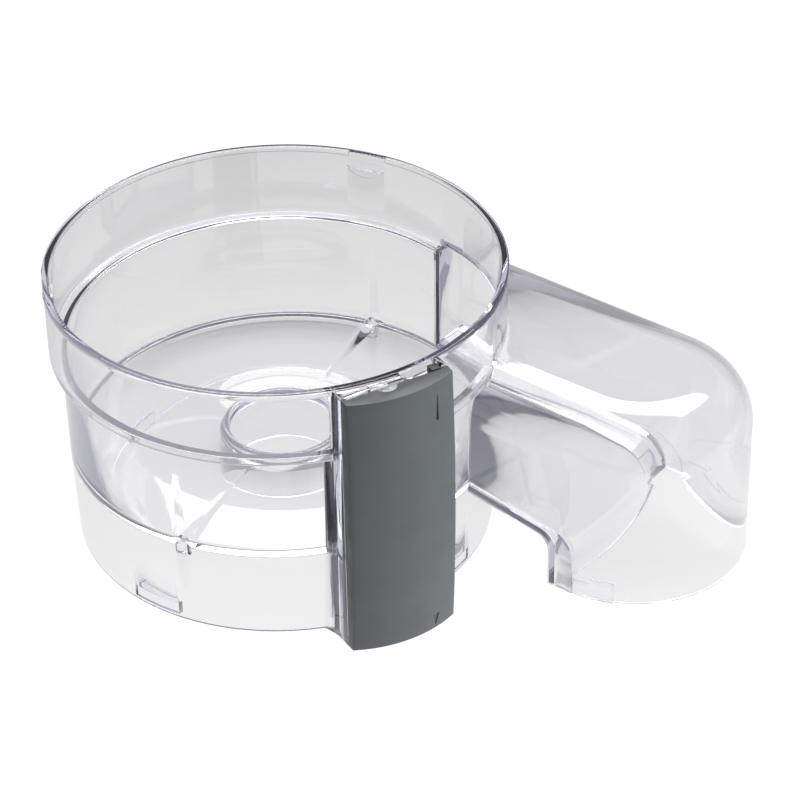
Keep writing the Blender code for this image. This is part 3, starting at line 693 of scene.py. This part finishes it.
def build_hood():
    hood = chute_solid("hood_body", 0, CHUTE_START, MOUTH_HEIGHT)
    cut(hood, chute_solid("hood_hollow", CHUTE_WALL, CHUTE_START + CHUTE_WALL, MOUTH_HEIGHT - DEEP))
    cut(hood, bowl_plug("bowl_clearance", GAP))
    rings = []
    for y in [NEAR_SIDE - DEEP / 3] + ramp_stations() + [FAR_SIDE + DEEP / 3]:
        over = ramp_line(y, GAP, shift=-DEEP)
        under = [(x, MOUTH_HEIGHT - 2 * DEEP) for x, _ in over]
        rings.append(ring_at(y, over, under))
    cut(hood, loft("ramp_clearance", rings))
    return finished("chute_hood_moulding", hood)


# ---------------------------------------------------------------- handle cover, rod and spring


def cover_front(height):
    """How far out the cover's middle stands at this height: a shallow barrel through three values."""
    share = height / HANDLE_TOP
    foot = COVER_DEPTH_FOOT * (1 - share) * (1 - 2 * share)
    middle = COVER_DEPTH_MIDDLE * 4 * share * (1 - share)
    top = COVER_DEPTH_TOP * share * (2 * share - 1)
    return COVER_BACK + foot + middle + top


def cover_ring(height, inset, back):
    """The cover's plan outline at one height, moved in by inset: a shallow arc with straight sides."""
    half = HANDLE_WIDTH / 2
    radius = (half**2 + COVER_CROWN**2) / (2 * COVER_CROWN)
    reach = math.degrees(math.asin((half - inset) / (radius - inset)))
    centre = (cover_front(height) - radius, 0)
    front = arc(centre, radius - inset, -reach, reach, 32)
    points = [(back, inset - half)] + front + [(back, half - inset)]
    return [(u, v, height) for u, v in points]


def mark_start(side, height):
    """How far out a mark's floor is, on the cover's face at this side and height."""
    half = HANDLE_WIDTH / 2
    return cover_front(height) - COVER_CROWN * (side / half) ** 2 - MARK_DEPTH


def line_mark():
    high = HANDLE_TOP - LINE_DROP
    low = high - LINE_HEIGHT
    side = HANDLE_WIDTH / 2 - LINE_INSET
    half = LINE_WIDTH / 2
    out = mark_start(side, (low + high) / 2)
    return box("line_mark", (out, side - half, low), (out + DEEP, side + half, high), HANDLE)


def arrow_mark():
    middle = HANDLE_WIDTH / 2 - ARROW_INSET
    half = ARROW_WIDTH / 2
    high = ARROW_LOW + ARROW_HEIGHT
    out = mark_start(middle, (ARROW_LOW + high) / 2)
    corners = [(middle - half, high), (middle + half, high), (middle, ARROW_LOW)]
    rings = [[(x, side, height) for side, height in corners] for x in (out, out + DEEP)]
    return loft("arrow_mark", rings, HANDLE)


def build_cover():
    steps = 24
    heights = [COVER_FOOT + (HANDLE_TOP - COVER_FOOT) * k / steps for k in range(steps + 1)]
    cover = loft("cover_body", [cover_ring(z, 0, COVER_BACK) for z in heights], HANDLE)
    low, high = COVER_FOOT + COVER_WALL, HANDLE_TOP - COVER_WALL
    inner = [low + (high - low) * k / steps for k in range(steps + 1)]
    rings = [cover_ring(z, COVER_WALL, COVER_BACK - DEEP) for z in inner]
    cut(cover, loft("cover_hollow", rings, HANDLE))
    cut(cover, line_mark())
    cut(cover, arrow_mark())
    above, below = HANDLE_TOP + DEEP, HANDLE_TOP - 2 * COVER_WALL
    inside = HANDLE_WIDTH / 2 - COVER_WALL
    lip = (COVER_BACK - DEEP, -inside, below), (COVER_LIP_BACK, inside, above)
    cut(cover, box("cover_lip", *lip, HANDLE))
    centre = (COVER_LIP_BACK - COVER_NOTCH_RADIUS / 4, COVER_NOTCH_SIDE)
    notch = arc(centre, COVER_NOTCH_RADIUS, 90, -90, 24)
    cut(cover, prism("cover_notch", notch, below, above, HANDLE))
    return finished("handle_grip", cover, edge=GRIP_EDGE)


def build_rod():
    half = ROD_WIDTH / 2
    low = (ROD_OUT - half, ROD_SIDE - half, COLLAR_TOP - COLLAR_HEIGHT / 2)
    rod = box("rod_body", low, (ROD_OUT + half, ROD_SIDE + half, ROD_TOP), HANDLE)
    wide, deep = COLLAR_WIDTH / 2, COLLAR_SIDE / 2
    low = (ROD_OUT - wide, ROD_SIDE - deep, COLLAR_TOP - COLLAR_HEIGHT)
    join(rod, box("rod_collar", low, (ROD_OUT + wide, ROD_SIDE + deep, COLLAR_TOP), HANDLE))
    high = COLLAR_TOP - COLLAR_HEIGHT / 2
    join(rod, peg("rod_tail", TAIL_RADIUS, ROD_FOOT, high, (ROD_OUT, ROD_SIDE), HANDLE))
    return finished("lid_interlock_rod", rod, edge=ROD_EDGE)


def build_spring():
    """A compression spring with its end turns wound flat, as wide and as high as the CAD spring."""
    centre = (spring_low + spring_high) / 2
    mean = (spring_high.x - spring_low.x) / 2 - SPRING_WIRE
    foot, head = spring_low.z + SPRING_WIRE, spring_high.z - SPRING_WIRE
    lead = 2.5 * SPRING_WIRE
    data = bpy.data.curves.new("spring_wire", "CURVE")
    data.dimensions = "3D"
    data.bevel_depth = SPRING_WIRE
    data.bevel_resolution = 4
    data.use_fill_caps = True
    count = SPRING_TURNS * SPRING_STEPS
    spline = data.splines.new("POLY")
    spline.points.add(count)
    for index in range(count + 1):
        turn = index / SPRING_STEPS
        angle = 2 * math.pi * turn
        open_turns = min(max((turn - 1) / (SPRING_TURNS - 2), 0), 1)
        rise = foot + lead * min(turn, 1) + lead * max(turn - SPRING_TURNS + 1, 0)
        rise += (head - foot - 2 * lead) * open_turns
        place = (centre.x + mean * math.cos(angle), centre.y + mean * math.sin(angle), rise, 1)
        spline.points[index].co = place
    wire = bpy.data.objects.new("spring_wire", data)
    tools.objects.link(wire)
    return finished("interlock_return_spring", wire, edge=0)


# ---------------------------------------------------------------- materials


class Nodes:
    """Short calls for building one material's node tree."""

    def __init__(self, name):
        self.material = bpy.data.materials.new(name)
        self.material.use_nodes = True
        self.tree = self.material.node_tree
        self.shader = self.tree.nodes["Principled BSDF"]
        self.output = self.tree.nodes["Material Output"]
        self.place = self.tree.nodes.new("ShaderNodeTexCoord").outputs["Object"]

    def add(self, kind, links=None, **settings):
        node = self.tree.nodes.new(kind)
        for name, value in settings.items():
            setattr(node, name, value)
        for name, value in (links or {}).items():
            socket = node.inputs[name]
            if isinstance(value, bpy.types.NodeSocket):
                self.tree.links.new(value, socket)
            else:
                socket.default_value = value
        return node

    def set(self, **values):
        for name, value in values.items():
            socket = self.shader.inputs[name.replace("_", " ")]
            if isinstance(value, bpy.types.NodeSocket):
                self.tree.links.new(value, socket)
            else:
                socket.default_value = value

    def noise(self, scale, detail=4.0, roughness=0.55):
        links = {"Vector": self.place, "Scale": scale, "Detail": detail, "Roughness": roughness}
        return self.add("ShaderNodeTexNoise", links).outputs["Fac"]

    def mapped(self, value, low, high, start=0.3, end=0.7):
        links = {"Value": value, "From Min": start, "From Max": end, "To Min": low, "To Max": high}
        return self.add("ShaderNodeMapRange", links).outputs["Result"]

    def pass_deep_rays_in_painted_shade(self, tone):
        """Passes rays straight on in this tone after many faces, where they would be cut off; the tone is
        painted shade that darkens the edge lines.
        """
        path = self.add("ShaderNodeLightPath").outputs
        deep = self.add("ShaderNodeMath", {0: path["Ray Depth"], 1: MOST_FACES}, operation="GREATER_THAN")
        turned_back = {0: path["Glossy Depth"], 1: MOST_MIRRORINGS}
        mirrored = self.add("ShaderNodeMath", turned_back, operation="GREATER_THAN")
        either = {0: deep.outputs["Value"], 1: mirrored.outputs["Value"]}
        share = self.add("ShaderNodeMath", either, operation="MAXIMUM").outputs["Value"]
        # Painted shade: rays passed on here are darkened by the given tone, which draws grey lines along the
        # edges.
        straight = self.add("ShaderNodeBsdfTransparent", {"Color": (*tone, 1)})
        mix = self.add("ShaderNodeMixShader", {0: share})
        self.tree.links.new(self.shader.outputs["BSDF"], mix.inputs[1])
        self.tree.links.new(straight.outputs["BSDF"], mix.inputs[2])
        self.tree.links.new(mix.outputs["Shader"], self.output.inputs["Surface"])

    def bump(self, height, strength, distance, under=None):
        links = {"Height": height, "Strength": strength, "Distance": distance}
        if under is not None:
            links["Normal"] = under
        return self.add("ShaderNodeBump", links).outputs["Normal"]


def clear_plastic(name, deep_painted_shade):
    """Clear styrene-like plastic: slightly uneven faces, faint haze and a violet-grey tint in depth, with a
    grey painted shade on rays that have crossed many faces, which darkens the edges.
    """
    nodes = Nodes(name)
    flow = nodes.bump(nodes.noise(26.0, 2.0), 0.10, 0.0006)
    rub = nodes.mapped(nodes.noise(260.0, 6.0), 0.012, 0.05)
    nodes.set(Base_Color=(1.0, 1.0, 1.0, 1), IOR=1.57, Transmission_Weight=1.0)
    nodes.set(Roughness=rub, Normal=flow)
    nodes.pass_deep_rays_in_painted_shade(deep_painted_shade)
    tint = {"Color": PLASTIC_TINT, "Density": PLASTIC_DENSITY}
    depth = nodes.add("ShaderNodeVolumeAbsorption", tint)
    nodes.tree.links.new(depth.outputs["Volume"], nodes.output.inputs["Volume"])
    return nodes.material


def grey_grip():
    """Moulded grey plastic with a fine spark-eroded grain, and a tone and roughness that vary at random."""
    nodes = Nodes("grey_grip")
    grain = nodes.noise(2600.0, 3.0, 0.7)
    cloud = nodes.noise(45.0, 4.0)
    mix = {"Factor": nodes.mapped(cloud, 0.0, 1.0)}
    tone = nodes.add("ShaderNodeMix", mix, data_type="RGBA")
    tone.inputs["A"].default_value = (0.055, 0.062, 0.067, 1)
    tone.inputs["B"].default_value = (0.063, 0.071, 0.076, 1)
    colour = next(s for s in tone.outputs if s.type == "RGBA")
    rough = nodes.mapped(nodes.noise(120.0, 5.0), 0.42, 0.54)
    nodes.set(Base_Color=colour, Roughness=rough, Normal=nodes.bump(grain, 0.25, 0.00006))
    nodes.set(IOR=1.5)
    return nodes.material


def black_plastic():
    nodes = Nodes("black_plastic")
    rough = nodes.mapped(nodes.noise(300.0, 4.0), 0.32, 0.5)
    bump = nodes.bump(nodes.noise(1800.0, 2.0), 0.2, 0.00004)
    nodes.set(Base_Color=(0.012, 0.012, 0.014, 1), Roughness=rough, Normal=bump, IOR=1.5)
    return nodes.material


def spring_steel():
    nodes = Nodes("spring_steel")
    rough = nodes.mapped(nodes.noise(900.0, 5.0), 0.18, 0.36)
    nodes.set(Base_Color=(0.56, 0.57, 0.60, 1), Metallic=1.0, Roughness=rough)
    return nodes.material


def floor_finish():
    """A pale floor: even white to the camera, and to all other rays a glow with a painted falloff of light,
    brightest just in front of the bowl and darker to the front and to the back.
    """
    nodes = Nodes("pale_floor")
    rough = nodes.mapped(nodes.noise(3.0, 3.0), 0.85, 0.95)
    nodes.set(Base_Color=(0.08, 0.08, 0.08, 1), Roughness=rough, Specular_IOR_Level=0.0)
    links = {0: nodes.place, 1: FLOOR_BACK}
    along = nodes.add("ShaderNodeVectorMath", links, operation="DOT_PRODUCT").outputs["Value"]
    front = nodes.mapped(along, FLOOR_FRONT_PAINTED_LIGHT, FLOOR_NEAR_PAINTED_LIGHT, FLOOR_FRONT, FLOOR_NEAR)
    back = nodes.mapped(along, FLOOR_NEAR_PAINTED_LIGHT, FLOOR_FAR_PAINTED_LIGHT, FLOOR_NEAR, FLOOR_FAR)
    # Painted light: the floor's glow falls off to the front and back for rays seen through the plastic.
    painted_light_falloff = nodes.add("ShaderNodeMath", {0: front, 1: back}, operation="MINIMUM").outputs["Value"]
    seen = {0: painted_light_falloff, 1: nodes.add("ShaderNodeLightPath").outputs["Is Camera Ray"]}
    strength = nodes.add("ShaderNodeMath", seen, operation="MAXIMUM").outputs["Value"]
    nodes.set(Emission_Color=(1, 1, 1, 1), Emission_Strength=strength)
    return nodes.material


# ---------------------------------------------------------------- stage, light and camera


def aimed(obj, place, target):
    obj.location = place
    obj.rotation_mode = "QUATERNION"
    obj.rotation_quaternion = (Vector(target) - Vector(place)).to_track_quat("-Z", "Y")


def area_light(name, place, size, power):
    data = bpy.data.lights.new(name, "AREA")
    data.shape = "RECTANGLE"
    data.size, data.size_y = size
    data.energy = power
    light = bpy.data.objects.new(name, data)
    bpy.context.scene.collection.objects.link(light)
    aimed(light, place, LIGHT_TARGET)
    return light


def build_floor():
    bm = bmesh.new()
    bmesh.ops.create_grid(bm, x_segments=1, y_segments=1, size=FLOOR_SIZE / 2)
    floor = mesh_object("floor", bm)
    tools.objects.unlink(floor)
    bpy.context.scene.collection.objects.link(floor)
    floor.location.z = -FLOOR_DROP
    floor.data.materials.append(floor_finish())


def build_world():
    world = bpy.data.worlds.new("studio")
    bpy.context.scene.world = world
    world.use_nodes = True
    sky = world.node_tree.nodes["Background"]
    sky.inputs["Color"].default_value = (1.0, 1.0, 1.0, 1)
    sky.inputs["Strength"].default_value = WORLD_STRENGTH


def build_lights():
    """Soft light from above, and from a side light that is hidden from glossy and transmitted rays."""
    area_light("overhead", OVERHEAD_PLACE, OVERHEAD_SIZE, OVERHEAD_POWER)
    side = area_light("right_side", SIDE_PLACE, SIDE_SIZE, SIDE_POWER)
    side.visible_glossy = False
    side.visible_transmission = False


def build_camera():
    data = bpy.data.cameras.new("camera")
    data.lens = CAMERA_LENS
    data.sensor_width = CAMERA_SENSOR
    data.clip_start = CAMERA_CLIP_START
    camera = bpy.data.objects.new("camera", data)
    turn = Matrix.Rotation(math.radians(CAMERA_TURN), 4, "Z")
    tilt = Matrix.Rotation(math.radians(90 - CAMERA_TILT), 4, "X")
    roll = Matrix.Rotation(math.radians(CAMERA_ROLL), 4, "Z")
    camera.matrix_world = Matrix.Translation(CAMERA_PLACE) @ turn @ tilt @ roll
    bpy.context.scene.collection.objects.link(camera)
    bpy.context.scene.camera = camera
    bpy.context.scene.view_settings.view_transform = "Standard"


# ---------------------------------------------------------------- assembly


def dress(piece, material, body, node):
    piece.data.materials.append(material)
    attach(piece, body)
    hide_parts(node)


def main():
    bowl_clear = clear_plastic("clear_plastic_bowl", BOWL_DEEP_PAINTED_SHADE)
    chute_clear = clear_plastic("clear_plastic_chute", CHUTE_DEEP_PAINTED_SHADE)
    dress(build_bowl(), bowl_clear, "root", "bowl")
    dress(build_hood(), chute_clear, "root", "chute_hood")
    dress(build_tray(), chute_clear, "root", "chute_tray")
    dress(build_cover(), grey_grip(), "root", "handle_cover")
    dress(build_rod(), black_plastic(), "interlock", "interlock_rod")
    spring = build_spring()
    dress(spring, spring_steel(), "root", "interlock_spring")
    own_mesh(spring)
    for obj in list(tools.objects):
        bpy.data.objects.remove(obj, do_unlink=True)
    build_floor()
    build_world()
    build_lights()
    build_camera()


main()
